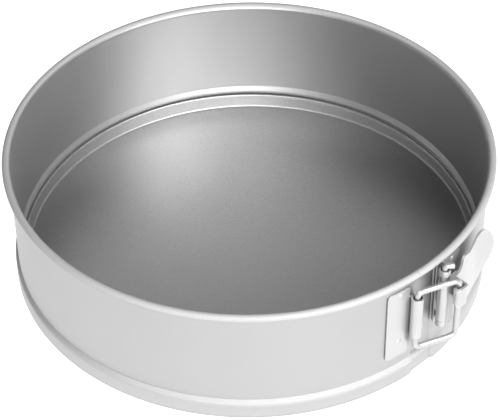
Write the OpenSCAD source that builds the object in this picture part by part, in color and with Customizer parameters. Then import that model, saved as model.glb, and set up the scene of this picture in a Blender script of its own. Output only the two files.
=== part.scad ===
// Springform pan: a dished base plate inside a sprung side band that is closed by an outside lever clasp.
// Millimetres, +Z up. The origin is the centre of the base plate on the table; the front of the pan faces -Y.

/* [Band] */
// inside diameter of the side wall
inner_d = 240; // [180:1:300]
// full height from table to top of rim
pan_h = 69; // [50:1:100]
// thickness of the wall strip
wall_t = 1.0; // [0.6:0.1:1.5]
// diameter of the rolled rim
rim_d = 3.9; // [3:0.1:6]
// diameter of the wire rolled into the rim
rim_wire_d = 2.0; // [1:0.1:3]
// how far the foot skirt stands out from the wall
skirt_out = 1.5; // [1:0.1:4]
// height of the crease above the table
crease_z = 10.8; // [8:0.1:16]
// polar angle of the seam under the clasp
seam_a = -50.4; // [-80:0.1:-20]
// polar angle of the spring line opposite the seam
back_a = 130; // [100:1:160]

/* [Base] */
// outside diameter of the base flange
base_d = 238.6; // [170:0.1:290]
// height of the flange top above the table
flange_z = 8.2; // [4:0.1:10]
// thickness of the base sheet
base_t = 1.2; // [0.6:0.1:2]
// width of the flange
flange_w = 1.5; // [1:0.1:5]

/* [Clasp] */
// sheet thickness of the hinge plate and bracket
plate_t = 0.8; // [0.5:0.1:1.5]
// diameter of the loop wire and pivot pin
wire_d = 3.0; // [2:0.1:4]
// outside diameter of the rolled knuckles
knuckle_d = 5.7; // [5:0.1:8]
// bottom of the loop, centre of the wire
loop_z0 = 21.2; // [16:0.1:30]
// top of the loop, centre of the wire
loop_z1 = 57.7; // [50:0.1:64]
// thickness of the lever sheet
lever_t = 1.2; // [0.8:0.1:2]
// bottom of the lever
lever_z0 = 31.2; // [20:0.1:40]
// top of the lever
lever_z1 = 55.6; // [45:0.1:62]

/* [Hidden] */
$fn = 96;
wall_r = inner_d / 2;
out_r = wall_r + wall_t;
rim_r = rim_d / 2;
rim_c = wall_r + 0.45 + rim_r;
rim_z = pan_h - rim_r;
joggle = wall_t + 0.3;
tongue_a = 6.2;
inset_a = 7.4;
seam_gap = 0.06;
base_r = base_d / 2;
edge_r = base_r - flange_w;
foot_r = edge_r - 1.4;
wire_r = wire_d / 2;
bore_r = wire_r + 0.05;
knuckle_r = knuckle_d / 2;
// the clasp is drawn with X pointing straight out from the wall, then turned to its place
clasp_a = -45;
loop_pin = [124.3, -13.1];
loop_leg = [132.8, 7.2];
lever_pin = [126.6, 3.2];
loop_len = norm(loop_leg - loop_pin);
loop_a = atan2(loop_leg[1] - loop_pin[1], loop_leg[0] - loop_pin[0]);
loop_bend = 3.4;
hinge_knuckle_r = 3.1;
hook_x = 135.9;
hook_y0 = 3.4;
hook_y1 = 10.8;
hook_z0 = 42.8;
hook_z1 = 54.4;
lever_end = 49;
hinge_plate_a = [-58.2, -51.9];
hinge_plate_z = [17.7, 60.4];
hinge_knuckle_z = [29.5, 54.5];
hinge_rivet_a = -54.6;
hinge_rivet_z = [27, 57.4];
bracket_a = [-43.4, -34.4];
bracket_z = [24, 64.6];
bracket_rivet_a = -37.5;
bracket_rivet_z = [33, 58.4];
plate_gap = 0.05;
plate_corner = 2.2;
pin_bend = 1.9;
pin_bend_z = 63.6;
steel = [0.80, 0.81, 0.82];
bright = [0.90, 0.90, 0.91];

// a 2-D profile (radius, height) swept from one polar angle to another
module arc(a0, a1) {
    rotate([0, 0, a0])
        rotate_extrude(angle = a1 - a0)
            children();
}

// outside of the strip from the table up: skirt, rounded shoulder and crease
foot_outer = [
    [out_r + skirt_out, 0.3],
    [out_r + skirt_out, crease_z - 2.6],
    [out_r + skirt_out - 0.25, crease_z - 1.75],
    [out_r + skirt_out - 0.9, crease_z - 1.05],
    [out_r + 0.05, crease_z - 0.4],
    [out_r - 0.4, crease_z],
    [out_r - 0.35, crease_z + 0.4],
    [out_r, crease_z + 1.0]
];

// inside of the strip from the wall down: inward bead, pocket for the base flange, skirt
foot_inner = [
    [wall_r, crease_z + 2.4],
    [wall_r - 0.7, crease_z + 1.1],
    [wall_r - 1.3, crease_z],
    [wall_r - 1.5, crease_z - 0.9],
    [wall_r - 1.3, crease_z - 1.8],
    [wall_r - 0.7, crease_z - 2.2],
    [wall_r + 1.0, crease_z - 2.3],
    [out_r + skirt_out - 0.9, crease_z - 3.0],
    [out_r + skirt_out - 0.9, 0.3]
];

function shifted(points, d) = [for (p = points) [p[0] + d, p[1]]];

// section of the strip, its outside moved by d_out, its inside by d_in, up to a height
module strip_profile(d_out, d_in, top) {
    polygon(concat(
        shifted(foot_outer, d_out),
        [[out_r + d_out, top], [wall_r + d_in, top]],
        shifted(foot_inner, d_in)
    ));
}

// rolled rim with the hole that its wire lies in, and the wall under it from a height up
module rim_profile(z0) {
    difference() {
        union() {
            translate([rim_c, rim_z])
                circle(r = rim_r);
            translate([wall_r, z0])
                square([wall_t, rim_z - z0]);
        }
        translate([rim_c, rim_z])
            circle(r = rim_wire_d / 2 + 0.05);
    }
}

module full_profile() {
    strip_profile(0, 0, rim_z - 2);
    rim_profile(rim_z - 2.5);
}

// rounded rectangle in plan, low corner at the origin
module round_rect(w, h, r) {
    translate([r, 0])
        square([w - 2 * r, h]);
    translate([0, r])
        square([w, h - 2 * r]);
    for (x = [r, w - r], y = [r, h - r])
        translate([x, y])
            circle(r = r);
}

// a plate bent to the wall, between two polar angles and two heights, with rounded corners
module wall_plate(a, z) {
    w = (out_r + plate_gap) * (a[1] - a[0]) * PI / 180;
    intersection() {
        arc(a[0] - 1, a[1] + 1)
            translate([out_r + plate_gap, z[0] - 1])
                square([plate_t, z[1] - z[0] + 2]);
        rotate([0, 0, (a[0] + a[1]) / 2])
            translate([out_r - 4, -w / 2, z[0]])
                rotate([90, 0, 90])
                    linear_extrude(height = 12)
                        round_rect(w, z[1] - z[0], plate_corner);
    }
}

// rivet through a plate and the wall, at a polar angle and height
module rivet(a, z, seat) {
    rotate([0, 0, a])
        translate([0, 0, z])
            rotate([0, 90, 0]) {
                translate([0, 0, wall_r + 0.05])
                    cylinder(r = 0.9, h = seat - wall_r);
                intersection() {
                    translate([0, 0, seat])
                        cylinder(r = 1.7, h = 0.5);
                    translate([0, 0, seat + 0.5 - 3.4])
                        sphere(r = 3.4);
                }
            }
}

module base_plate() {
    color(steel)
        rotate_extrude()
            polygon([
                [0, 0],
                [foot_r, 0],
                [foot_r + 0.7, 0.3],
                [foot_r + 1.2, 1.1],
                [edge_r + 0.7, flange_z - 1.5],
                [edge_r + 1.0, flange_z - 1.0],
                [base_r, flange_z - 1.0],
                [base_r, flange_z - 0.4],
                [base_r - 0.4, flange_z],
                [edge_r + 0.6, flange_z],
                [edge_r + 0.1, flange_z - 0.25],
                [edge_r - 0.2, flange_z - 0.8],
                [foot_r + 0.25, base_t + 1.0],
                [foot_r, base_t + 0.4],
                [foot_r - 0.5, base_t],
                [0, base_t]
            ]);
}

module band_left() {
    color(steel)
        difference() {
            arc(back_a + 0.03, 360 + seam_a)
                full_profile();
            rivet_holes(hinge_rivet_a, hinge_rivet_z);
        }
}

module band_right() {
    color(steel)
        difference() {
            union() {
                // the rim runs on to the seam; the wall below it stops short, where the strip steps in
                difference() {
                    arc(seam_a + seam_gap, back_a)
                        full_profile();
                    arc(seam_a - 1, seam_a + inset_a)
                        translate([wall_r - 4, -1])
                            square([9, rim_z - 2.4]);
                }
                arc(seam_a + seam_gap, seam_a + inset_a + 1.4)
                    strip_profile(0.1 - joggle, -joggle, rim_z - 3.9);
                arc(seam_a - tongue_a, seam_a + 0.5)
                    translate([wall_r - joggle + 0.1, crease_z + 3.6])
                        square([wall_t - 0.2, rim_z - crease_z - 8]);
                // the steps that tie the inner layer to the wall and to the rim
                arc(seam_a + inset_a + 0.3, seam_a + inset_a + 1.1)
                    translate([wall_r - 0.8, crease_z + 5])
                        square([1.3, rim_z - crease_z - 10]);
                arc(seam_a + 0.3, seam_a + inset_a - 0.3)
                    translate([wall_r - 0.8, rim_z - 4.6])
                        square([1.3, 1.7]);
            }
            rivet_holes(bracket_rivet_a, bracket_rivet_z);
        }
}

module rivet_holes(a, zs) {
    for (z = zs)
        rotate([0, 0, a])
            translate([wall_r - 3, 0, z])
                rotate([0, 90, 0])
                    cylinder(r = 0.95, h = 8);
}

module rim_wire_left() {
    color(bright)
        arc(back_a + 0.2, 360 + seam_a - 0.5)
            translate([rim_c, rim_z])
                circle(r = rim_wire_d / 2);
}

module rim_wire_right() {
    color(bright)
        arc(seam_a + 0.5, back_a - 0.2)
            translate([rim_c, rim_z])
                circle(r = rim_wire_d / 2);
}

// plate on the outer end of the strip, rolled round the hinge leg of the loop
module hinge_plate() {
    color(bright)
        difference() {
            union() {
                wall_plate(hinge_plate_a, hinge_plate_z);
                arc(-53, -50.7)
                    translate([out_r + 0.3, hinge_knuckle_z[0] + 0.3])
                        square([plate_t + 0.2, hinge_knuckle_z[1] - hinge_knuckle_z[0] - 0.6]);
                rotate([0, 0, clasp_a])
                    translate([loop_pin[0], loop_pin[1], hinge_knuckle_z[0]])
                        cylinder(r = hinge_knuckle_r, h = hinge_knuckle_z[1] - hinge_knuckle_z[0]);
            }
            rotate([0, 0, clasp_a])
                translate([loop_pin[0], loop_pin[1], 20])
                    cylinder(r = bore_r, h = 40);
            rivet_holes(hinge_rivet_a, hinge_rivet_z);
        }
}

module hinge_plate_rivets() {
    color(bright)
        for (z = hinge_rivet_z)
            rivet(hinge_rivet_a, z, out_r + plate_gap + plate_t);
}

// closed rectangle of round wire with bent corners
module wire_loop() {
    color(bright)
        rotate([0, 0, clasp_a])
            translate([loop_pin[0], loop_pin[1], 0])
                rotate([0, 0, loop_a]) {
                    for (x = [0, loop_len])
                        translate([x, 0, loop_z0 + loop_bend])
                            cylinder(r = wire_r, h = loop_z1 - loop_z0 - 2 * loop_bend);
                    for (z = [loop_z0, loop_z1])
                        translate([loop_bend, 0, z])
                            rotate([0, 90, 0])
                                cylinder(r = wire_r, h = loop_len - 2 * loop_bend);
                    loop_corner(loop_bend, loop_z1 - loop_bend, 90);
                    loop_corner(loop_len - loop_bend, loop_z1 - loop_bend, 0);
                    loop_corner(loop_bend, loop_z0 + loop_bend, 180);
                    loop_corner(loop_len - loop_bend, loop_z0 + loop_bend, 270);
                }
}

module loop_corner(x, z, a) {
    translate([x, 0, z])
        rotate([90, 0, 0])
            rotate([0, 0, a])
                rotate_extrude(angle = 90)
                    translate([loop_bend, 0])
                        circle(r = wire_r);
}

// one rolled knuckle of the bracket with the strap that ties it to the wall plate
module bracket_knuckle(z0, z1) {
    rotate([0, 0, clasp_a])
        translate([0, 0, z0]) {
            translate(lever_pin)
                cylinder(r = knuckle_r, h = z1 - z0);
            translate([out_r + 0.2, lever_pin[1] + knuckle_r - 1.3, 0])
                cube([lever_pin[0] - out_r - 0.2, 1.3, z1 - z0]);
        }
}

module lever_bracket() {
    color(bright)
        difference() {
            union() {
                wall_plate(bracket_a, bracket_z);
                bracket_knuckle(lever_z0 - 3.8, lever_z0 - 0.4);
                bracket_knuckle(60.2, 63.4);
            }
            rotate([0, 0, clasp_a])
                translate([lever_pin[0], lever_pin[1], 20])
                    cylinder(r = bore_r, h = 50);
            rivet_holes(bracket_rivet_a, bracket_rivet_z);
        }
}

module bracket_rivets() {
    color(bright)
        for (z = bracket_rivet_z)
            rivet(bracket_rivet_a, z, out_r + plate_gap + plate_t);
}

// pivot pin: headed below, its top end bent over so that it cannot drop out
module pivot_pin() {
    color(bright)
        rotate([0, 0, clasp_a])
            translate([lever_pin[0], lever_pin[1], 0])
                rotate([0, 0, 46]) {
                    translate([0, 0, lever_z0 - 5])
                        cylinder(r = wire_r, h = pin_bend_z - lever_z0 + 5);
                    translate([0, 0, lever_z0 - 5.2])
                        cylinder(r = wire_r + 0.7, h = 1.3);
                    translate([pin_bend, 0, pin_bend_z])
                        rotate([90, 0, 0])
                            rotate([0, 0, 90])
                                rotate_extrude(angle = 90)
                                    translate([pin_bend, 0])
                                        circle(r = wire_r);
                    translate([pin_bend, 0, pin_bend_z + pin_bend])
                        rotate([0, 90, 0])
                            cylinder(r = wire_r, h = 2.6);
                }
}

// outer face of the lever sheet, seen from above, from the knuckle to the tip of the finger tab
face = [
    [lever_pin[0] + knuckle_r, lever_pin[1]],
    [128.9, 8.5],
    [128.0, 14.0],
    [126.6, 20.0],
    [124.6, 26.5],
    [122.3, 33.0],
    [120.7, 38.5],
    [120.0, 42.5],
    [120.1, 45.8],
    [120.9, 48.9]
];

function unit(v) = v / norm(v);
function along(i) = unit(face[min(i + 1, len(face) - 1)] - face[max(i - 1, 0)]);
function inward(i) = face[i] + lever_t * [-along(i)[1], along(i)[0]];

module lever_sheet() {
    n = len(face) - 1;
    polygon(concat([for (i = [0 : n]) face[i]], [for (i = [n : -1 : 0]) inward(i)]));
}

// top and bottom edges of the lever sheet, as [distance along, height]; an ear rises beside the hook
lever_bottom = [
    [2, lever_z0],
    [7.5, lever_z0],
    [9, lever_z0 - 1.2],
    [17, lever_z0 - 1.5],
    [26, lever_z0 - 1],
    [33, lever_z0 - 0.9]
];
lever_top = [
    [33, lever_z1 + 6.3],
    [28, lever_z1 + 5.5],
    [23.5, lever_z1 + 4.8],
    [20.5, lever_z1 + 5.8],
    [18.6, lever_z1 + 6.8],
    [17.2, lever_z1 + 7.1],
    [16.3, lever_z1 + 6.2],
    [15.7, lever_z1 + 3.2],
    [14.6, lever_z1 + 1],
    [12.6, lever_z1],
    [2, lever_z1]
];
tab_r = (lever_z1 - lever_z0 + 7.2) / 2;

// outline of the lever seen from outside: knuckle edge, arm, ear, and the round finger tab
module lever_outline() {
    polygon(concat(lever_bottom, lever_top));
    translate([lever_end - tab_r, lever_z0 - 0.9 + tab_r])
        circle(r = tab_r);
}

// hook folded out of the sheet, round the outside of the loop leg
module hook_profile() {
    polygon([
        [127.8, hook_y1 - lever_t],
        [hook_x - lever_t, hook_y1 - lever_t],
        [hook_x - lever_t, hook_y0 + lever_t],
        [132.4, hook_y0 + lever_t],
        [132.4, hook_y0],
        [hook_x - 1.0, hook_y0],
        [hook_x - 0.3, hook_y0 + 0.3],
        [hook_x, hook_y0 + 1.0],
        [hook_x, hook_y1 - 1.0],
        [hook_x - 0.3, hook_y1 - 0.3],
        [hook_x - 1.0, hook_y1],
        [127.8, hook_y1]
    ]);
}

// leaf-shaped shelf turned in from the top edge of the sheet, above the hook
module lever_flange() {
    translate([0, 0, lever_z1 - 0.4 - lever_t])
        linear_extrude(height = lever_t)
            polygon([
                [128.8, 5.6],
                [127.4, 15.8],
                [126.4, 15.6],
                [125.6, 13.6],
                [125.4, 11],
                [125.9, 8.2],
                [127, 6]
            ]);
}

module lever() {
    color(bright)
        rotate([0, 0, clasp_a])
            difference() {
                union() {
                    intersection() {
                        linear_extrude(height = 80)
                            lever_sheet();
                        translate([100, 0, 0])
                            rotate([90, 0, 90])
                                linear_extrude(height = 40)
                                    lever_outline();
                    }
                    translate([0, 0, hook_z0])
                        linear_extrude(height = hook_z1 - hook_z0)
                            hook_profile();
                    lever_flange();
                    translate([lever_pin[0], lever_pin[1], lever_z0])
                        cylinder(r = knuckle_r, h = lever_z1 - lever_z0);
                }
                translate([lever_pin[0], lever_pin[1], 20])
                    cylinder(r = bore_r, h = 50);
            }
}

base_plate();
band_left();
band_right();
rim_wire_left();
rim_wire_right();
hinge_plate();
hinge_plate_rivets();
wire_loop();
lever_bracket();
bracket_rivets();
pivot_pin();
lever();
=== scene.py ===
"""Springform pan: meshes, materials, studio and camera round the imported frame."""
import math
import bpy
import bmesh
from mathutils import Matrix, Vector

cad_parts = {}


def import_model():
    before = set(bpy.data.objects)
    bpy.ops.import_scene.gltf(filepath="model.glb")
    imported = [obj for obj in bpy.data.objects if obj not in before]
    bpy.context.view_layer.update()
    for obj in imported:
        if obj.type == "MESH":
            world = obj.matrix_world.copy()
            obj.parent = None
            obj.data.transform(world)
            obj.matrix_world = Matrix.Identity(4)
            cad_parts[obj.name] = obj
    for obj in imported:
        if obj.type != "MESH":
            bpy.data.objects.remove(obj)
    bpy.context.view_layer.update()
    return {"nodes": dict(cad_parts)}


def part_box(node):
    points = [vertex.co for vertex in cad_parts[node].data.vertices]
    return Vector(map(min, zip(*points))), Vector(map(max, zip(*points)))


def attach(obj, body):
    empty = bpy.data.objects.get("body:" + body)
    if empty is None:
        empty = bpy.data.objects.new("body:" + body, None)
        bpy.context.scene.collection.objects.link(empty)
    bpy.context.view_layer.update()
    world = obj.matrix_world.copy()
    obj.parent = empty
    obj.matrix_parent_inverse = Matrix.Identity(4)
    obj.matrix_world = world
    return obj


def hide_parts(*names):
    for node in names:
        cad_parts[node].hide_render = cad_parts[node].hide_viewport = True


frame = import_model()

MM = 0.001

# the pan's sheet, in millimetres from the frame's origin
WALL_IN = 120.0
WALL_OUT = 121.0
SKIRT_IN = 121.6
SKIRT_OUT = 122.5
CREASE_Z = 10.8
RIM_MID = 122.4
RIM_Z = 67.05
RIM_TUBE = 1.92
BASE_R = 119.3
FLANGE_Z = 8.2
BASE_T = 1.2

# polar angles, in degrees: the seam under the clasp, the line at the back where the two halves meet
SEAM = -50.4
BACK = 130.0
TONGUE = 6.2
INSET = 7.4
JOGGLE = 1.2
RAMP = 0.6
STEP_Z = 62.3

# the clasp is laid out with x pointing straight out from the wall, then turned to its place
CLASP = -45.0
LOOP_PIN = (124.3, -13.1)
LOOP_LEG = (132.8, 7.2)
LEVER_PIN = (126.6, 3.2)
WIRE_R = 1.5
LOOP_LOW, LOOP_HIGH = 21.2, 57.7
LOOP_BEND = 3.4
LEVER_LOW, LEVER_HIGH = 31.2, 55.6
LEVER_T = 1.2
PLATE_T = 0.8
PLATE_SEAT = WALL_OUT + 0.05

# plates on the wall as (first angle, last angle, low, high), and their rivets as (angle, heights)
HINGE_PLATE = (-58.2, -51.9, 17.7, 60.4)
HINGE_RIVETS = (-54.6, (27, 57.4))
HINGE_KNUCKLE = (29.5, 54.5)
BRACKET_PLATE = (-43.4, -34.4, 24, 64.6)
BRACKET_RIVETS = (-37.5, (33, 58.4))
BRACKET_KNUCKLES = ((27.4, 30.8), (60.2, 63.4))

# the whole pan, from the frame
RIM_R = -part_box("band_left")[0][0]


# ---------------------------------------------------------------- shapes

def rounded(corners, closed=True, steps=6):
    """Points of a polyline whose corners, each (x, y, radius), are rounded off."""
    points = []
    count = len(corners)
    for i, (x, y, radius) in enumerate(corners):
        here = Vector((x, y))
        at_end = not closed and i in (0, count - 1)
        if at_end or radius == 0:
            points.append(here)
            continue
        before = Vector(corners[i - 1][:2]) - here
        after = Vector(corners[(i + 1) % count][:2]) - here
        half = before.angle(after) / 2
        cut = min(radius / math.tan(half), 0.49 * before.length, 0.49 * after.length)
        start = here + before.normalized() * cut
        end = here + after.normalized() * cut
        for k in range(steps + 1):
            t = k / steps
            points.append((1 - t) ** 2 * start + 2 * t * (1 - t) * here + t * t * end)
    return points


def arc_points(centre, radius, start, end, steps):
    """Points on a circle between two angles in degrees."""
    points = []
    for i in range(steps + 1):
        angle = math.radians(start + (end - start) * i / steps)
        points.append(Vector((centre[0] + radius * math.cos(angle), centre[1] + radius * math.sin(angle))))
    return points


def turns(*stops):
    """Polar angles in degrees from the first stop to the last, about one apart, every stop among them."""
    angles = [stops[0]]
    for a, b in zip(stops, stops[1:]):
        count = max(1, round(b - a))
        angles += [a + (b - a) * i / count for i in range(1, count + 1)]
    return angles


def lathe(bm, section, angles):
    """Sweeps a closed (radius, height) loop, given for each polar angle, round the pan's axis."""
    whole = abs(angles[-1] - angles[0] - 360) < 1e-6
    rings = []
    for degrees in angles[:-1] if whole else angles:
        angle = math.radians(degrees)
        rings.append([bm.verts.new((r * math.cos(angle) * MM, r * math.sin(angle) * MM, z * MM))
                      for r, z in section(degrees)])
    size = len(rings[0])
    for i in range(len(angles) - 1):
        here, there = rings[i], rings[(i + 1) % len(rings)]
        for j in range(size):
            k = (j + 1) % size
            bm.faces.new((here[j], there[j], there[k], here[k]))
    if not whole:
        bm.faces.new(rings[0][::-1])
        bm.faces.new(rings[-1])


def clasp_point(x, y, z):
    """A point in the clasp's own axes, in millimetres, put in the frame, in metres."""
    angle = math.radians(CLASP)
    cos, sin = math.cos(angle), math.sin(angle)
    return Vector((x * cos - y * sin, x * sin + y * cos, z)) * MM


def grid_solid(bm, outer, inner):
    """Closes two matching grids of points into one solid sheet."""
    sides = []
    for grid in (outer, inner):
        sides.append([[bm.verts.new(p) for p in row] for row in grid])
    a, b = sides
    rows, columns = len(a), len(a[0])
    for i in range(rows - 1):
        for j in range(columns - 1):
            bm.faces.new((a[i][j], a[i][j + 1], a[i + 1][j + 1], a[i + 1][j]))
            bm.faces.new((b[i][j], b[i + 1][j], b[i + 1][j + 1], b[i][j + 1]))
    for i in range(rows - 1):
        for j in (0, columns - 1):
            bm.faces.new((a[i][j], a[i + 1][j], b[i + 1][j], b[i][j]))
    for j in range(columns - 1):
        for i in (0, rows - 1):
            bm.faces.new((a[i][j], a[i][j + 1], b[i][j + 1], b[i][j]))


def bent_plate(bm, start, end, low, high, inner, thickness, corner, lines=25):
    """A plate bent to the wall between two polar angles. corner gives the (left, right) corner radii."""
    middle_z, half_h = (low + high) / 2, (high - low) / 2
    middle_a = math.radians((start + end) / 2)
    grids = []
    for radius in (inner + thickness, inner):
        half_w = inner * math.radians(end - start) / 2
        grid = []
        for i in range(lines):
            z = middle_z + half_h * math.sin(math.pi * (i / (lines - 1) - 0.5))
            row = []
            for j in range(lines):
                side = 2 * j / (lines - 1) - 1
                r = corner[0] if side < 0 else corner[1]
                over = max(0, abs(z - middle_z) - (half_h - r))
                pulled = half_w - r + math.sqrt(max(0, r * r - over * over))
                angle = middle_a + side * pulled / inner
                row.append(Vector((radius * math.cos(angle), radius * math.sin(angle), z)) * MM)
            grid.append(row)
        grids.append(grid)
    grid_solid(bm, grids[0], grids[1])


def strip(bm, path, thickness, low, high, rows=9, dish=None):
    """Sheet standing on edge along a mid-line in the clasp's axes. low and high give its edges per point."""
    count = len(path)
    outer, inner = [], []
    for i, point in enumerate(path):
        ahead = path[min(i + 1, count - 1)] - path[max(i - 1, 0)]
        normal = Vector((ahead.y, -ahead.x)).normalized()
        z0 = low(i) if callable(low) else low
        z1 = high(i) if callable(high) else high
        outer_row, inner_row = [], []
        for k in range(rows):
            z = z0 + (z1 - z0) * k / (rows - 1)
            move = dish(point, z) if dish else 0
            a = point + normal * (thickness / 2 - move)
            b = point - normal * (thickness / 2 + move)
            outer_row.append(clasp_point(a.x, a.y, z))
            inner_row.append(clasp_point(b.x, b.y, z))
        outer.append(outer_row)
        inner.append(inner_row)
    grid_solid(bm, outer, inner)


def tube(bm, path, across, radius, closed, sides=24):
    """Round wire along a flat path of points in metres; across is square to the path's plane."""
    count = len(path)
    rings = []
    for i, point in enumerate(path):
        if closed:
            ahead = path[(i + 1) % count] - path[i - 1]
        else:
            ahead = path[min(i + 1, count - 1)] - path[max(i - 1, 0)]
        beside = ahead.normalized().cross(across)
        ring = []
        for k in range(sides):
            turn = 2 * math.pi * k / sides
            ring.append(point + radius * (math.cos(turn) * across + math.sin(turn) * beside))
        rings.append((ring, ahead.normalized()))
    if not closed:
        for end, way in ((0, -1), (-1, 1)):
            ring, ahead = rings[end]
            middle = sum(ring, Vector()) / sides
            domes = []
            for k in (1, 2, 3):
                turn = math.radians(28 * k)
                rise = way * ahead * radius * 0.45 * math.sin(turn)
                domes.append(([middle + (p - middle) * math.cos(turn) + rise for p in ring], ahead))
            rings = domes[::-1] + rings if end == 0 else rings + domes
    made = [[bm.verts.new(p) for p in ring] for ring, _ in rings]
    for i in range(len(made) if closed else len(made) - 1):
        here, there = made[i], made[(i + 1) % len(made)]
        for k in range(sides):
            n = (k + 1) % sides
            bm.faces.new((here[k], here[n], there[n], there[k]))
    if not closed:
        bm.faces.new(made[0])
        bm.faces.new(made[-1][::-1])


def dome(bm, place, out, radius, height, sides=28):
    """Low domed head, such as a rivet's, at a place in metres, facing out."""
    turn = out.to_track_quat("Z", "Y").to_matrix()
    rings = []
    for k in range(8):
        angle = math.radians(90 * k / 7.6)
        ring = []
        for i in range(sides):
            spin = 2 * math.pi * i / sides
            flat = radius * math.cos(angle)
            local = Vector((flat * math.cos(spin), flat * math.sin(spin), height * math.sin(angle)))
            ring.append(bm.verts.new(place + turn @ local))
        rings.append(ring)
    for here, there in zip(rings, rings[1:]):
        for i in range(sides):
            n = (i + 1) % sides
            bm.faces.new((here[i], here[n], there[n], there[i]))
    bm.faces.new(rings[0][::-1])
    bm.faces.new(rings[-1])


def piece(name, bm, material, body, nodes, bevel=0):
    """Makes an object of a mesh, smooth but for its sharp edges, and gives it its place in the frame."""
    bmesh.ops.remove_doubles(bm, verts=bm.verts, dist=1e-7)
    bmesh.ops.recalc_face_normals(bm, faces=bm.faces)
    for face in bm.faces:
        face.smooth = True
    for edge in bm.edges:
        edge.smooth = edge.calc_face_angle(0) < math.radians(38)
    mesh = bpy.data.meshes.new(name)
    bm.to_mesh(mesh)
    bm.free()
    obj = bpy.data.objects.new(name, mesh)
    bpy.context.scene.collection.objects.link(obj)
    obj.data.materials.append(material)
    if bevel:
        soft = obj.modifiers.new("soft_edges", "BEVEL")
        soft.width = bevel * MM
        soft.segments = 3
        soft.limit_method = "ANGLE"
        soft.angle_limit = math.radians(40)
        soft.harden_normals = True
    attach(obj, body)
    if nodes:
        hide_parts(*nodes)
    return obj


# ---------------------------------------------------------------- the pan

def foot(step):
    """Corners of the strip's lower part, stepped inwards: up the outside, and down the inside."""
    outside = [
        (SKIRT_OUT - step, 0.3, 0.25),
        (SKIRT_OUT - step, CREASE_Z - 1.3, 1.6),
        (WALL_OUT - 0.35 - step, CREASE_Z, 0.45),
        (WALL_OUT - step, CREASE_Z + 1.3, 1.0),
    ]
    inside = [
        (WALL_IN - step, CREASE_Z + 2.5, 2.0),
        (WALL_IN - 1.6 - step, CREASE_Z - 0.6, 1.5),
        (WALL_IN - 0.9 - step, CREASE_Z - 2.2, 0.7),
        (SKIRT_IN - step, CREASE_Z - 2.5, 0.5),
        (SKIRT_IN - step, 0.3, 0.25),
    ]
    return outside, inside


def band_section(step=0):
    """The strip from the table to the rolled rim, in one closed loop; only the wall is stepped inwards."""
    outside, inside = foot(step)
    out_step = [(WALL_OUT - step, STEP_Z, 0.5), (WALL_OUT, STEP_Z + 1.3, 0.4), (WALL_OUT, RIM_Z - 2, 0)]
    in_step = [(WALL_IN, STEP_Z + 1.5, 0.4), (WALL_IN - step, STEP_Z + 0.2, 0.5)]
    up = rounded([(SKIRT_OUT - step, -6, 0)] + outside + out_step, closed=False)[1:]
    roll = arc_points((RIM_MID, RIM_Z), RIM_TUBE, -138, 150, 30)
    lead = rounded([(RIM_MID - 1.1, RIM_Z + 1.3, 0), (WALL_IN, RIM_Z - 0.4, 2.4), (WALL_IN, RIM_Z - 2, 0)],
                   closed=False)
    below = (SKIRT_IN - step, -6, 0)
    down = rounded([(WALL_IN, RIM_Z - 2, 0)] + in_step + inside + [below], closed=False)[:-1]
    return up + roll + lead[1:-1] + down


def tongue_section():
    """The flat tongue that runs on behind the other end of the strip."""
    face = WALL_IN - JOGGLE + 0.1
    low, high = CREASE_Z + 3.6, RIM_Z - 4.4
    return rounded([(face + 0.8, low, 0.3), (face + 0.8, high, 0.3), (face, high, 0.3), (face, low, 0.3)])


def base_section():
    """The dished base: underside, rounded foot, riser, flange with its thin edge, and the floor."""
    edge = BASE_R - 1.5
    low = edge - 1.4
    corners = [
        (0, 0, 0),
        (low + 0.5, 0, 0.8),
        (low + 1.2, 1.4, 1.2),
        (edge + 0.8, FLANGE_Z - 1.2, 0.5),
        (BASE_R, FLANGE_Z - 1.1, 0.25),
        (BASE_R, FLANGE_Z, 0.35),
        (edge + 0.15, FLANGE_Z, 0.7),
        (edge - 0.25, FLANGE_Z - 1.3, 0.8),
        (low + 0.25, BASE_T + 1.2, 1.0),
        (low - 0.2, BASE_T, 0.9),
        (0, BASE_T, 0),
    ]
    return rounded(corners, closed=False)


def stepped(degrees):
    """The strip's section beside the seam, a sheet's thickness further in until the ramp up to the wall."""
    ramp = min(1.0, max(0.0, (SEAM + INSET - degrees) / RAMP))
    return band_section(JOGGLE * ramp)


def make_pan(sheet, floor_sheet):
    bm = bmesh.new()
    base = base_section()
    lathe(bm, lambda degrees: base, turns(0, 360))
    piece("base_sheet", bm, floor_sheet, "base", ["base_plate"])

    bm = bmesh.new()
    plain = band_section()
    lathe(bm, lambda degrees: plain, turns(BACK, 360 + SEAM))
    piece("band_left_sheet", bm, sheet, "band_left", ["band_left"])

    bm = bmesh.new()
    lathe(bm, stepped, turns(SEAM + 0.06, SEAM + INSET - RAMP, SEAM + INSET, BACK))
    tongue = tongue_section()
    lathe(bm, lambda degrees: tongue, turns(SEAM - TONGUE, SEAM + 0.5))
    piece("band_right_sheet", bm, sheet, "band_right", ["band_right"])


# ---------------------------------------------------------------- the clasp

def polar_point(degrees, radius, z):
    angle = math.radians(degrees)
    return Vector((radius * math.cos(angle), radius * math.sin(angle), z)) * MM


def rivets(name, places, material, body, node):
    degrees, heights = places
    bm = bmesh.new()
    seat = PLATE_SEAT + PLATE_T
    out = polar_point(degrees, 1, 0).normalized()
    for z in heights:
        dome(bm, polar_point(degrees, seat - 0.02, z), out, 1.65 * MM, 0.5 * MM)
    piece(name, bm, material, body, [node])


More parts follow.
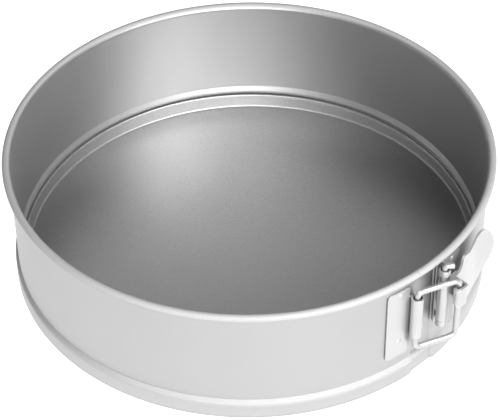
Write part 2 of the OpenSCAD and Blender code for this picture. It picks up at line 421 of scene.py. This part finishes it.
def make_hinge_plate(steel):
    bm = bmesh.new()
    bent_plate(bm, *HINGE_PLATE, PLATE_SEAT, PLATE_T, (2.4, 1.2))
    middle = PLATE_SEAT + PLATE_T / 2
    path = []
    for degrees in (-53.6, -53.0, -52.4):
        angle = math.radians(degrees - CLASP)
        path.append(Vector((middle * math.cos(angle), middle * math.sin(angle))))
    roll = 2.68
    inward = math.degrees(math.atan2(-LOOP_PIN[1], -LOOP_PIN[0]))
    path += arc_points(LOOP_PIN, roll, inward - 8, inward + 292, 30)
    strip(bm, path, PLATE_T, *HINGE_KNUCKLE, rows=3)
    piece("hinge_plate_sheet", bm, steel, "band_left", ["hinge_plate"], bevel=0.16)
    rivets("hinge_rivet_heads", HINGE_RIVETS, steel, "band_left", "hinge_plate_rivets")


def make_bracket(steel):
    bm = bmesh.new()
    bent_plate(bm, *BRACKET_PLATE, PLATE_SEAT, PLATE_T, (1.6, 3.2))
    roll = 2.43
    strap_y = LEVER_PIN[1] + roll
    middle = PLATE_SEAT + PLATE_T / 2
    corners = [(middle - 0.35, strap_y + 3.4, 0), (middle - 0.05, strap_y, 1.0), (LEVER_PIN[0], strap_y, 0)]
    path = rounded(corners, closed=False) + arc_points(LEVER_PIN, roll, 84, -190, 30)
    for low, high in BRACKET_KNUCKLES:
        strip(bm, path, PLATE_T, low, high, rows=3)
    piece("lever_bracket_sheet", bm, steel, "band_right", ["lever_bracket"], bevel=0.16)
    rivets("bracket_rivet_heads", BRACKET_RIVETS, steel, "band_right", "bracket_rivets")


def make_loop(steel):
    along = Vector(LOOP_LEG) - Vector(LOOP_PIN)
    length = along.length
    along.normalize()
    flat = rounded([(0, LOOP_LOW, LOOP_BEND), (length, LOOP_LOW, LOOP_BEND),
                    (length, LOOP_HIGH, LOOP_BEND), (0, LOOP_HIGH, LOOP_BEND)], steps=10)
    path = [clasp_point(LOOP_PIN[0] + along.x * u, LOOP_PIN[1] + along.y * u, z) for u, z in flat]
    across = clasp_point(along.y, -along.x, 0).normalized()
    bm = bmesh.new()
    tube(bm, path, across, WIRE_R * MM, True)
    piece("loop_wire", bm, steel, "loop", ["wire_loop"])


def make_pin(steel):
    bend, top = 1.9, 63.6
    turn = math.radians(46)
    way = Vector((math.cos(turn), math.sin(turn)))
    flat = rounded([(0, LEVER_LOW - 4.6, 0), (0, top + bend, bend), (bend + 2.1, top + bend, 0)],
                   closed=False, steps=10)
    path = [clasp_point(LEVER_PIN[0] + way.x * u, LEVER_PIN[1] + way.y * u, z) for u, z in flat]
    across = clasp_point(way.y, -way.x, 0).normalized()
    bm = bmesh.new()
    tube(bm, path, across, WIRE_R * MM, False)
    foot_at = clasp_point(LEVER_PIN[0], LEVER_PIN[1], LEVER_LOW - 4.1)
    dome(bm, foot_at, Vector((0, 0, -1)), 2.15 * MM, 1.0 * MM)
    piece("pivot_pin_wire", bm, steel, "band_right", ["pivot_pin"])


# outer face of the lever sheet in plan, from its knuckle to the tip of the finger tab
LEVER_FACE = [
    (129.45, 3.2),
    (128.9, 8.5),
    (128.0, 14.0),
    (126.6, 20.0),
    (124.6, 26.5),
    (122.3, 33.0),
    (120.7, 38.5),
    (120.0, 42.5),
    (120.1, 45.8),
    (120.9, 48.9),
]


def spline(points, steps):
    """A smooth curve through the points."""
    points = [Vector(p) for p in points]
    out = []
    for i in range(len(points) - 1):
        before = points[max(i - 1, 0)]
        a, b = points[i], points[i + 1]
        after = points[min(i + 2, len(points) - 1)]
        for k in range(steps):
            t = k / steps
            out.append(0.5 * (2 * a + (b - before) * t + (2 * before - 5 * a + 4 * b - after) * t * t
                              + (3 * a - before - 3 * b + after) * t ** 3))
    out.append(points[-1])
    return out


def between(table, y):
    """Value at y in a short table of (y, value), eased from one row to the next."""
    for (y0, v0), (y1, v1) in zip(table, table[1:]):
        if y <= y1:
            t = (max(y, y0) - y0) / (y1 - y0)
            t = t * t * (3 - 2 * t)
            return v0 + (v1 - v0) * t
    return table[-1][1]


LEVER_BOTTOM = [(6, LEVER_LOW), (9, LEVER_LOW - 1.2), (17, LEVER_LOW - 1.5), (26, LEVER_LOW - 1.0),
                (49, LEVER_LOW - 0.9)]
LEVER_TOP = [(12.4, LEVER_HIGH), (14.6, LEVER_HIGH + 1.0), (16.5, LEVER_HIGH + 6.1),
             (17.6, LEVER_HIGH + 6.9), (20.5, LEVER_HIGH + 5.8), (23.5, LEVER_HIGH + 4.8),
             (29, LEVER_HIGH + 5.6), (33, LEVER_HIGH + 6.2), (49, LEVER_HIGH + 6.3)]
TAB_ROUND = 15.7
TAB_END = 48.9


def tab_pull(y):
    """How far the rounded end of the finger tab pulls its edges in."""
    over = max(0.0, y - (TAB_END - TAB_ROUND))
    return TAB_ROUND - math.sqrt(max(0.0, TAB_ROUND ** 2 - min(over, TAB_ROUND) ** 2))


def make_lever(steel):
    half = LEVER_T / 2
    face = spline(LEVER_FACE, 10)
    mid = []
    for i, point in enumerate(face):
        ahead = face[min(i + 1, len(face) - 1)] - face[max(i - 1, 0)]
        mid.append(point - half * Vector((ahead.y, -ahead.x)).normalized())
    roll = arc_points(LEVER_PIN, 2.25, -290, -6, 30)
    path = roll + mid
    first = len(roll)

    def low(i):
        y = path[i].y if i >= first else 0
        return between(LEVER_BOTTOM, y) + (tab_pull(y) if i >= first else 0)

    def high(i):
        y = path[i].y if i >= first else 0
        return between(LEVER_TOP, y) - (tab_pull(y) if i >= first else 0)

    def dish(point, z):
        """A shallow thumb hollow pressed into the tab, and a small dimple in the ear."""
        away = math.hypot((point.y - 36) / 9, (z - 46) / 9)
        hollow = 0.5 * max(0.0, 1 - away * away) ** 2
        away = math.hypot((point.y - 18.3) / 1.5, (z - 57.6) / 1.9)
        dimple = 0.4 * max(0.0, 1 - away * away)
        return hollow + dimple if point.y > 12 else 0

    bm = bmesh.new()
    strip(bm, path, LEVER_T, low, high, rows=33, dish=dish)
    web, lip, stem = 135.3, 4.0, 10.2
    hook = rounded([(127.9, stem, 0), (web, stem, 1.3), (web, lip, 1.3), (132.5, lip, 0)], closed=False)[::-1]
    hook_low, hook_high = 42.8, 54.4
    around = len(hook) - 1

    def hook_bottom(i):
        """The hook's tongue is rounded off towards its lip."""
        return hook_low + 2.2 * max(0.0, 1 - 2.2 * i / around) ** 2

    strip(bm, hook, LEVER_T, hook_bottom, hook_high, rows=7)
    leaf_outer = spline([(128.8, 5.6), (128.2, 10.5), (127.4, 15.8)], 8)
    leaf_inner = spline([(127.6, 5.7), (125.5, 10.8), (126.6, 15.7)], 8)
    leaf_high = LEVER_HIGH - 0.45
    levels = []
    for z in (leaf_high, leaf_high - LEVER_T):
        levels.append([[clasp_point(a.x + (b.x - a.x) * t, a.y + (b.y - a.y) * t, z) for t in (0, 0.5, 1)]
                       for a, b in zip(leaf_outer, leaf_inner)])
    grid_solid(bm, levels[0], levels[1])
    piece("lever_sheet", bm, steel, "lever", ["lever"], bevel=0.25)


# ---------------------------------------------------------------- materials

# a painted highlight on the band's rolled rim and shoulder: there the colour turns this flat grey and less
# metallic, which reads bright under the lamps, and the roughness rises
RIM_HIGHLIGHT_COLOUR = 0.37
RIM_HIGHLIGHT_METAL = 0.35
RIM_ROUGH = 0.75
# how far off a neighbouring surface still adds painted shade to a crevice
SHADE_REACH = 4.5


def painted_highlight_edges(nodes, links, place):
    """1 on the rolled rim and on the shoulder over the foot, where a highlight is painted, 0 on the rest."""
    split = nodes.new("ShaderNodeSeparateXYZ")
    links.new(place.outputs["Object"], split.inputs["Vector"])
    flat = nodes.new("ShaderNodeCombineXYZ")
    links.new(split.outputs["X"], flat.inputs["X"])
    links.new(split.outputs["Y"], flat.inputs["Y"])
    out = nodes.new("ShaderNodeVectorMath")
    out.operation = "LENGTH"
    links.new(flat.outputs["Vector"], out.inputs[0])
    height, radius = split.outputs["Z"], out.outputs["Value"]

    def ramp(value, low, high):
        node = nodes.new("ShaderNodeMapRange")
        node.inputs["From Min"].default_value = low * MM
        node.inputs["From Max"].default_value = high * MM
        links.new(value, node.inputs["Value"])
        return node.outputs["Result"]

    def join(operation, a, b):
        node = nodes.new("ShaderNodeMath")
        node.operation = operation
        links.new(a, node.inputs[0])
        links.new(b, node.inputs[1])
        return node.outputs["Value"]

    on_rim = join("MULTIPLY", ramp(height, RIM_Z - 1.9, RIM_Z - 1.4),
                  ramp(radius, RIM_MID - 2.0, RIM_MID - 1.5))
    on_shoulder = join("MULTIPLY", ramp(height, CREASE_Z - 3.4, CREASE_Z - 2.4),
                       join("MULTIPLY", ramp(height, CREASE_Z + 1.6, CREASE_Z + 0.8),
                            ramp(radius, WALL_OUT - 0.8, WALL_OUT - 0.5)))
    return join("MAXIMUM", on_rim, on_shoulder)


def metal(name, colour, metallic, roughness, grain, speck, speck_bump, streak=None, wear=0.0, rim=False,
          painted_shade=0.0):
    """Sheet metal with a fine grain, uneven sheen, edges rubbed brighter, painted shade in crevices and a
    painted highlight on the band's rim.

    grain is the grain size in millimetres, speck how much it varies the colour and sheen, speck_bump
    its height in millimetres; streak stretches a second pattern along one axis, for brushing; painted_shade
    paints shade into crevices by ambient occlusion; rim paints a highlight on the band's rim and shoulder.
    """
    mat = bpy.data.materials.new(name)
    mat.use_nodes = True
    nodes, links = mat.node_tree.nodes, mat.node_tree.links
    shader = nodes["Principled BSDF"]
    shader.inputs["Metallic"].default_value = metallic

    def add(kind, **values):
        node = nodes.new(kind)
        for key, value in values.items():
            if hasattr(node, key):
                setattr(node, key, value)
            else:
                node.inputs[key.replace("_", " ")].default_value = value
        return node

    place = add("ShaderNodeTexCoord")
    fine = add("ShaderNodeTexNoise", Scale=1000 / grain, Detail=2.5, Roughness=0.6)
    links.new(place.outputs["Object"], fine.inputs["Vector"])
    broad = add("ShaderNodeTexNoise", Scale=22.0, Detail=4.0, Roughness=0.55)
    links.new(place.outputs["Object"], broad.inputs["Vector"])
    pattern = fine.outputs["Fac"]
    if streak:
        stretch = add("ShaderNodeMapping")
        stretch.inputs["Scale"].default_value = streak
        links.new(place.outputs["Object"], stretch.inputs["Vector"])
        brushed = add("ShaderNodeTexNoise", Scale=900.0, Detail=3.0, Roughness=0.7)
        links.new(stretch.outputs["Vector"], brushed.inputs["Vector"])
        both = add("ShaderNodeMath", operation="MULTIPLY")
        links.new(fine.outputs["Fac"], both.inputs[0])
        links.new(brushed.outputs["Fac"], both.inputs[1])
        pattern = both.outputs["Value"]

    tone = add("ShaderNodeMapRange")
    tone.inputs["From Min"].default_value = 0.3
    tone.inputs["From Max"].default_value = 0.7
    tone.inputs["To Min"].default_value = 1 - speck
    tone.inputs["To Max"].default_value = 1 + speck
    links.new(pattern, tone.inputs["Value"])
    stain = add("ShaderNodeMapRange")
    stain.inputs["To Min"].default_value = 0.965
    stain.inputs["To Max"].default_value = 1.035
    links.new(broad.outputs["Fac"], stain.inputs["Value"])
    mixed = add("ShaderNodeMath", operation="MULTIPLY")
    links.new(tone.outputs["Result"], mixed.inputs[0])
    links.new(stain.outputs["Result"], mixed.inputs[1])
    # painted shade: ambient occlusion darkens the colour in crevices, recesses and between parts, where shade
    # falls
    if painted_shade:
        crevice = add("ShaderNodeAmbientOcclusion", samples=8)
        crevice.inputs["Distance"].default_value = SHADE_REACH * MM
        shade_factor = add("ShaderNodeMapRange")
        shade_factor.inputs["From Min"].default_value = 0.15
        shade_factor.inputs["From Max"].default_value = 0.75
        shade_factor.inputs["To Min"].default_value = 1 - painted_shade
        links.new(crevice.outputs["AO"], shade_factor.inputs["Value"])
        clear = mixed
        mixed = add("ShaderNodeMath", operation="MULTIPLY")
        links.new(clear.outputs["Value"], mixed.inputs[0])
        links.new(shade_factor.outputs["Result"], mixed.inputs[1])

    tint = add("ShaderNodeVectorMath", operation="SCALE")
    tint.inputs[0].default_value = colour
    links.new(mixed.outputs["Value"], tint.inputs["Scale"])

    edge = add("ShaderNodeNewGeometry")
    rub = add("ShaderNodeMapRange")
    rub.inputs["From Min"].default_value = 0.52
    rub.inputs["From Max"].default_value = 0.60
    rub.inputs["To Max"].default_value = wear
    links.new(edge.outputs["Pointiness"], rub.inputs["Value"])
    worn = add("ShaderNodeMix", data_type="RGBA")
    worn.inputs[7].default_value = [min(1, part * 1.25) for part in colour] + [1]
    links.new(rub.outputs["Result"], worn.inputs[0])
    links.new(tint.outputs["Vector"], worn.inputs[6])
    # painted highlight: on the rim and shoulder the colour is mixed towards a flat grey and the metallic
    # lowered, so that they read bright
    if rim:
        highlight_mask = painted_highlight_edges(nodes, links, place)
        bright = add("ShaderNodeMix", data_type="RGBA")
        bright.inputs[7].default_value = (RIM_HIGHLIGHT_COLOUR, RIM_HIGHLIGHT_COLOUR, RIM_HIGHLIGHT_COLOUR, 1)
        links.new(highlight_mask, bright.inputs[0])
        links.new(worn.outputs[2], bright.inputs[6])
        links.new(bright.outputs[2], shader.inputs["Base Color"])
        highlight_metallic = add("ShaderNodeMapRange")
        highlight_metallic.inputs["To Min"].default_value = metallic
        highlight_metallic.inputs["To Max"].default_value = RIM_HIGHLIGHT_METAL
        links.new(highlight_mask, highlight_metallic.inputs["Value"])
        links.new(highlight_metallic.outputs["Result"], shader.inputs["Metallic"])
    else:
        links.new(worn.outputs[2], shader.inputs["Base Color"])

    sheen = add("ShaderNodeMapRange")
    sheen.inputs["From Min"].default_value = 0.25
    sheen.inputs["From Max"].default_value = 0.75
    sheen.inputs["To Min"].default_value = roughness * 0.9
    sheen.inputs["To Max"].default_value = roughness * 1.1
    links.new(pattern, sheen.inputs["Value"])
    if rim:
        softer = add("ShaderNodeMapRange")
        softer.inputs["To Max"].default_value = RIM_ROUGH
        links.new(highlight_mask, softer.inputs["Value"])
        links.new(sheen.outputs["Result"], softer.inputs["To Min"])
        links.new(softer.outputs["Result"], shader.inputs["Roughness"])
    else:
        links.new(sheen.outputs["Result"], shader.inputs["Roughness"])

    bump = add("ShaderNodeBump")
    bump.inputs["Strength"].default_value = 1.0
    bump.inputs["Distance"].default_value = speck_bump * MM
    links.new(pattern, bump.inputs["Height"])
    links.new(bump.outputs["Normal"], shader.inputs["Normal"])
    return mat


def floor_material():
    mat = bpy.data.materials.new("pale_floor")
    mat.use_nodes = True
    shader = mat.node_tree.nodes["Principled BSDF"]
    shader.inputs["Base Color"].default_value = (0.35, 0.35, 0.35, 1)
    shader.inputs["Roughness"].default_value = 0.9
    shader.inputs["Specular IOR Level"].default_value = 0.1
    shader.inputs["Emission Color"].default_value = (1, 1, 1, 1)
    shader.inputs["Emission Strength"].default_value = FLOOR_GLOW
    return mat


# ---------------------------------------------------------------- studio

FLOOR_GLOW = 1.05
HORIZON = (0.12, 0.26)
WORLD_GLOW = 0.8


def camera():
    """Looks down into the pan from the front, a long way off."""
    elevation = math.radians(41.54)
    roll = math.radians(-0.68)
    distance = 8.0 * RIM_R
    target = Vector((0.001 * RIM_R, 0, 0.1996 * RIM_R))
    back = Vector((0, -math.cos(elevation), math.sin(elevation)))
    side = Vector((1, 0, 0))
    up = back.cross(side)
    x_axis = math.cos(roll) * side + math.sin(roll) * up
    y_axis = -math.sin(roll) * side + math.cos(roll) * up
    data = bpy.data.cameras.new("camera")
    data.sensor_width = 36
    data.lens = 137.94
    obj = bpy.data.objects.new("camera", data)
    turn = Matrix((x_axis, y_axis, back)).transposed().to_4x4()
    obj.matrix_world = Matrix.Translation(target + distance * back) @ turn
    bpy.context.scene.collection.objects.link(obj)
    bpy.context.scene.camera = obj


def area_light(name, polar, elevation, distance, size, power):
    """Square soft box aimed at the pan, placed by polar angle and elevation in degrees."""
    turn, lift = math.radians(polar), math.radians(elevation)
    way = Vector((math.cos(turn) * math.cos(lift), math.sin(turn) * math.cos(lift), math.sin(lift)))
    data = bpy.data.lights.new(name, "AREA")
    data.energy = power
    data.size = size
    obj = bpy.data.objects.new(name, data)
    obj.location = way * distance + Vector((0, 0, 0.03))
    obj.rotation_euler = (-way).to_track_quat("-Z", "Y").to_euler()
    bpy.context.scene.collection.objects.link(obj)
    return obj


def floor():
    bm = bmesh.new()
    bmesh.ops.create_grid(bm, x_segments=1, y_segments=1, size=4)
    mesh = bpy.data.meshes.new("floor")
    bm.to_mesh(mesh)
    bm.free()
    obj = bpy.data.objects.new("floor", mesh)
    obj.location = (0, 0, -0.0001)
    bpy.context.scene.collection.objects.link(obj)
    obj.data.materials.append(floor_material())


def world(strength):
    """A white horizon, as in a studio with pale walls, that fades to dark overhead."""
    made = bpy.data.worlds.new("studio")
    made.use_nodes = True
    nodes, links = made.node_tree.nodes, made.node_tree.links
    background = nodes["Background"]
    background.inputs["Color"].default_value = (1, 1, 1, 1)
    place = nodes.new("ShaderNodeTexCoord")
    split = nodes.new("ShaderNodeSeparateXYZ")
    links.new(place.outputs["Generated"], split.inputs["Vector"])
    fade = nodes.new("ShaderNodeMapRange")
    fade.inputs["From Min"].default_value = HORIZON[0]
    fade.inputs["From Max"].default_value = HORIZON[1]
    fade.inputs["To Min"].default_value = strength
    fade.inputs["To Max"].default_value = 0.0
    links.new(split.outputs["Z"], fade.inputs["Value"])
    links.new(fade.outputs["Result"], background.inputs["Strength"])
    bpy.context.scene.world = made


def studio():
    world(WORLD_GLOW)
    floor()
    area_light("key_right", -48, 42, 1.2, 0.55, 19)
    area_light("key_front", -85, 28, 1.2, 0.55, 10.5)
    area_light("fill_left", -112, 42, 1.2, 0.55, 4.0)
    area_light("fill_back", 96, 42, 1.2, 0.55, 1.15)


def make_all():
    # painted shade in the crevices of the sheet and the plated steel; a painted highlight on the sheet's rim
    # and shoulder
    sheet = metal("satin_aluminium", (0.41, 0.41, 0.41), 1.0, 0.46, 0.8, 0.04, 0.005, wear=0.25, rim=True,
                  painted_shade=0.85)
    floor_sheet = metal("grained_aluminium", (0.42, 0.42, 0.42), 1.0, 0.46, 0.8, 0.1, 0.014, wear=0.25)
    plated = metal("plated_steel", (0.42, 0.42, 0.42), 0.6, 0.34, 0.35, 0.03, 0.002,
                   streak=(1, 1, 0.06), wear=0.5, painted_shade=0.7)
    wire = metal("drawn_wire", (0.8, 0.8, 0.8), 1.0, 0.28, 0.3, 0.05, 0.003, wear=0.3)
    # only the wires inside the rim keep their own mesh; the other nodes are replaced below
    for node in frame["nodes"].values():
        node.data.materials.clear()
        node.data.materials.append(wire)
    make_pan(sheet, floor_sheet)
    make_hinge_plate(plated)
    make_bracket(plated)
    make_loop(plated)
    make_pin(plated)
    make_lever(plated)


make_all()
studio()
camera()
bpy.context.scene.view_settings.view_transform = "Standard"
